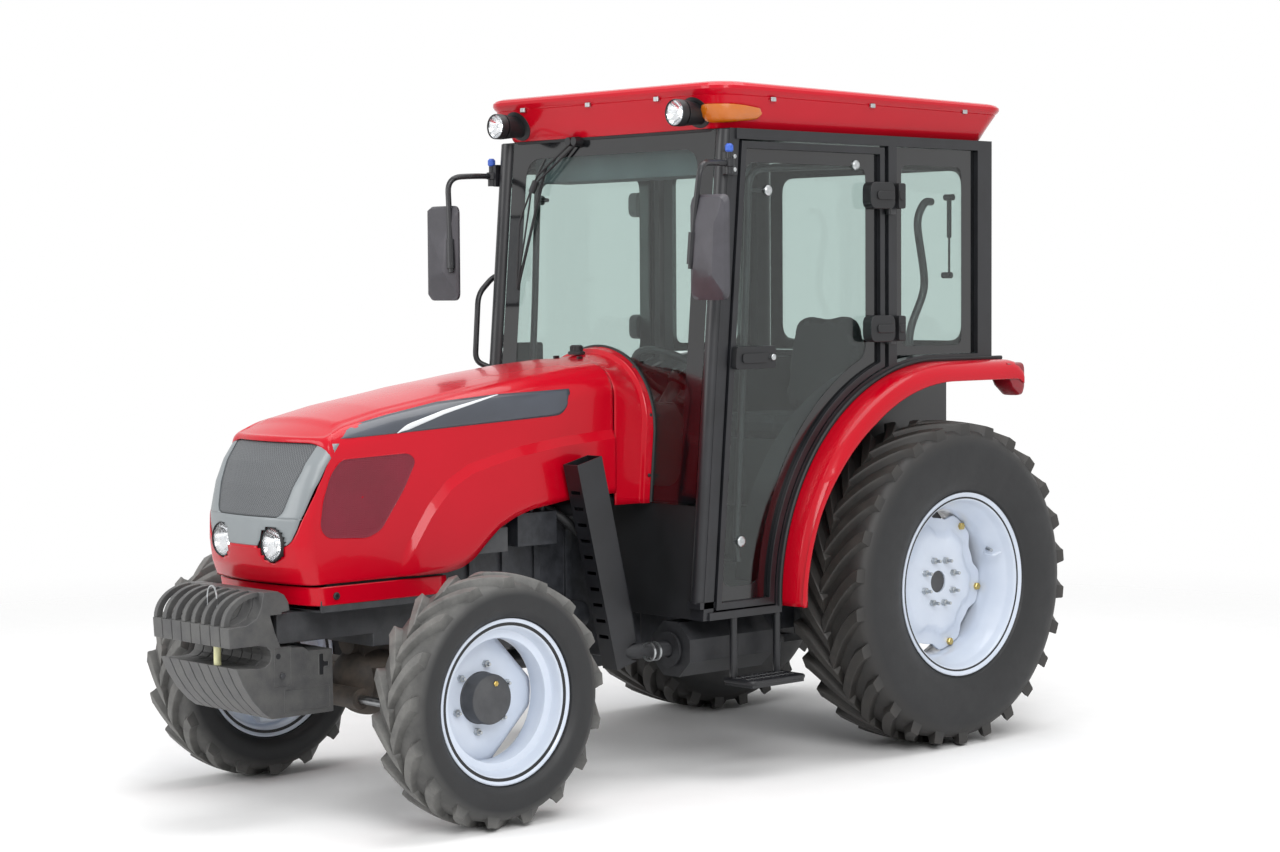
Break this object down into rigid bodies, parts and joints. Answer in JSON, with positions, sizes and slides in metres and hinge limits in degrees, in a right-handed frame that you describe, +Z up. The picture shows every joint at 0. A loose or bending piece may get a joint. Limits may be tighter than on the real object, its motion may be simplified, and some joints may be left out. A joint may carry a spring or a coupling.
{
  "type": "farm tractor with cab",
  "caption": "Compact four-wheel-drive farm tractor with a closed cab, suitcase front weights, lifting hood, hinged doors, steered front wheels and a rear three-point hitch.",
  "frame": {"origin": "on the ground, in the middle of the overall length and width", "axes": "+Z up; -Y is the front; +X is the tractor's left"},
  "size_m": [1.594, 3.695, 2.348],
  "materials": {
    "red_paint": "gloss",
    "cab_black": "satin",
    "cast_iron_grey": "painted casting",
    "weight_grey": "painted casting",
    "grille_grey": "moulded",
    "lamp_glass": "clear lens",
    "amber_lens": "lens",
    "red_lens": "lens",
    "tinted_glass": "tinted",
    "floor_mat": "ribbed mat",
    "interior_grey": "grained",
    "seat_fabric": "woven cloth",
    "rim_white": "gloss",
    "tyre_rubber": "moulded",
    "steel": "machined",
    "hitch_black": "satin"
  },
  "bodies": {
    "root": {"front_frame": "cast_iron_grey", "front_weights": "weight_grey", "engine": "cast_iron_grey", "gearbox": "cast_iron_grey", "drive_shaft": "cast_iron_grey", "rear_axle": "cast_iron_grey", "front_axle": "cast_iron_grey", "front_fascia": "red_paint", "cowl": "red_paint", "windscreen": "tinted_glass", "cab_walls": "cab_black", "cab_floor": "floor_mat", "cab_frame": "cab_black", "wheel_houses": "cab_black", "fenders": "red_paint", "rear_lamps": "red_lens", "cab_windows": "tinted_glass", "roof": "red_paint", "roof_liner": "interior_grey", "work_lamps": "lamp_glass", "signal_lamps": "amber_lens", "exhaust_guard": "cab_black", "exhaust": "cab_black", "steps": "cab_black", "mirrors": "cab_black", "seat_base": "interior_grey", "seat_cushion": "seat_fabric", "seat_back": "seat_fabric", "dashboard": "interior_grey", "drawbar": "cast_iron_grey", "hitch_frame": "cast_iron_grey"},
    "hood": {"hood": "red_paint", "grille": "grille_grey", "headlamps": "lamp_glass"},
    "door_left": {"door_left": "cab_black", "door_glass_left": "tinted_glass"},
    "knuckle_left": {"knuckle_left": "cast_iron_grey"},
    "front_wheel_left": {"front_rim_left": "rim_white", "front_tyre_left": "tyre_rubber", "front_hub_left": "cast_iron_grey"},
    "rear_wheel_left": {"rear_rim_left": "rim_white", "rear_tyre_left": "tyre_rubber", "rear_hub_left": "cast_iron_grey"},
    "door_right": {"door_right": "cab_black", "door_glass_right": "tinted_glass"},
    "knuckle_right": {"knuckle_right": "cast_iron_grey"},
    "front_wheel_right": {"front_rim_right": "rim_white", "front_tyre_right": "tyre_rubber", "front_hub_right": "cast_iron_grey"},
    "rear_wheel_right": {"rear_rim_right": "rim_white", "rear_tyre_right": "tyre_rubber", "rear_hub_right": "cast_iron_grey"},
    "steering_rod": {"steering_rod": "cast_iron_grey"},
    "steering_wheel": {"steering_wheel": "interior_grey"},
    "lift_arms": {"lift_arms": "hitch_black"},
    "lift_rods": {"lift_rods": "hitch_black"},
    "lower_links": {"lower_links": "hitch_black"},
    "top_link": {"top_link": "hitch_black"},
    "pto_shaft": {"pto_shaft": "steel"}
  },
  "joints": [
    {"name": "hood_hinge", "type": "hinge", "parent": "root", "child": "hood", "pos_m": [0, -0.2885, 1.398], "axis": [-1, 0, 0], "range_deg": [0, 45]},
    {"name": "door_left_hinge", "type": "hinge", "parent": "root", "child": "door_left", "pos_m": [0.612, 0.6955, 1.5], "axis": [0, 0, 1], "range_deg": [0, 75]},
    {"name": "door_right_hinge", "type": "hinge", "parent": "root", "child": "door_right", "pos_m": [-0.612, 0.6955, 1.5], "axis": [0, 0, -1], "range_deg": [0, 75]},
    {"name": "steer_left", "type": "hinge", "parent": "root", "child": "knuckle_left", "pos_m": [0.452, -1.1675, 0.394], "axis": [0, 0, 1], "range_deg": [-38, 38]},
    {"name": "steer_right", "type": "hinge", "parent": "root", "child": "knuckle_right", "pos_m": [-0.452, -1.1675, 0.394], "axis": [0, 0, 1], "range_deg": [-38, 38]},
    {"name": "front_wheel_left_spin", "type": "hinge", "parent": "knuckle_left", "child": "front_wheel_left", "pos_m": [0.6225, -1.1675, 0.394], "axis": [1, 0, 0], "continuous": true},
    {"name": "rear_wheel_left_spin", "type": "hinge", "parent": "root", "child": "rear_wheel_left", "pos_m": [0.5915, 0.9475, 0.587], "axis": [1, 0, 0], "continuous": true},
    {"name": "front_wheel_right_spin", "type": "hinge", "parent": "knuckle_right", "child": "front_wheel_right", "pos_m": [-0.6225, -1.1675, 0.394], "axis": [1, 0, 0], "continuous": true},
    {"name": "rear_wheel_right_spin", "type": "hinge", "parent": "root", "child": "rear_wheel_right", "pos_m": [-0.5915, 0.9475, 0.587], "axis": [1, 0, 0], "continuous": true},
    {"name": "steering_rod_slide", "type": "slide", "parent": "root", "child": "steering_rod", "axis": [1, 0, 0], "range_m": [-0.08669, 0.08669]},
    {"name": "steering_wheel_turn", "type": "hinge", "parent": "root", "child": "steering_wheel", "pos_m": [0, 0.2475, 1.33], "axis": [0, 0.6157, 0.788], "range_deg": [-457, 457]},
    {"name": "lift_arm_hinge", "type": "hinge", "parent": "root", "child": "lift_arms", "pos_m": [0, 1.2325, 0.742], "axis": [1, 0, 0], "range_deg": [-24, 36]},
    {"name": "lift_rod_hinge", "type": "hinge", "parent": "lift_arms", "child": "lift_rods", "pos_m": [0, 1.46537, 0.80006], "axis": [1, 0, 0], "range_deg": [-40, 40]},
    {"name": "lower_link_hinge", "type": "hinge", "parent": "root", "child": "lower_links", "pos_m": [0, 1.0075, 0.42], "axis": [1, 0, 0], "range_deg": [-15, 24]},
    {"name": "top_link_hinge", "type": "hinge", "parent": "root", "child": "top_link", "pos_m": [0, 1.3325, 0.79], "axis": [-1, 0, 0], "range_deg": [0, 80]},
    {"name": "pto_spin", "type": "hinge", "parent": "root", "child": "pto_shaft", "pos_m": [0, 1.1775, 0.548], "axis": [0, 1, 0], "continuous": true}
  ],
  "couplings": [
    {"joint": "steer_right", "follows": "steer_left", "ratio": 1},
    {"joint": "steering_rod_slide", "follows": "steer_left", "m_per_rad": 0.12996},
    {"joint": "steering_wheel_turn", "follows": "steer_left", "ratio": 12},
    {"joint": "lower_link_hinge", "follows": "lift_arm_hinge", "ratio": 0.5293},
    {"joint": "lift_rod_hinge", "follows": "lift_arm_hinge", "ratio": -1}
  ]
}
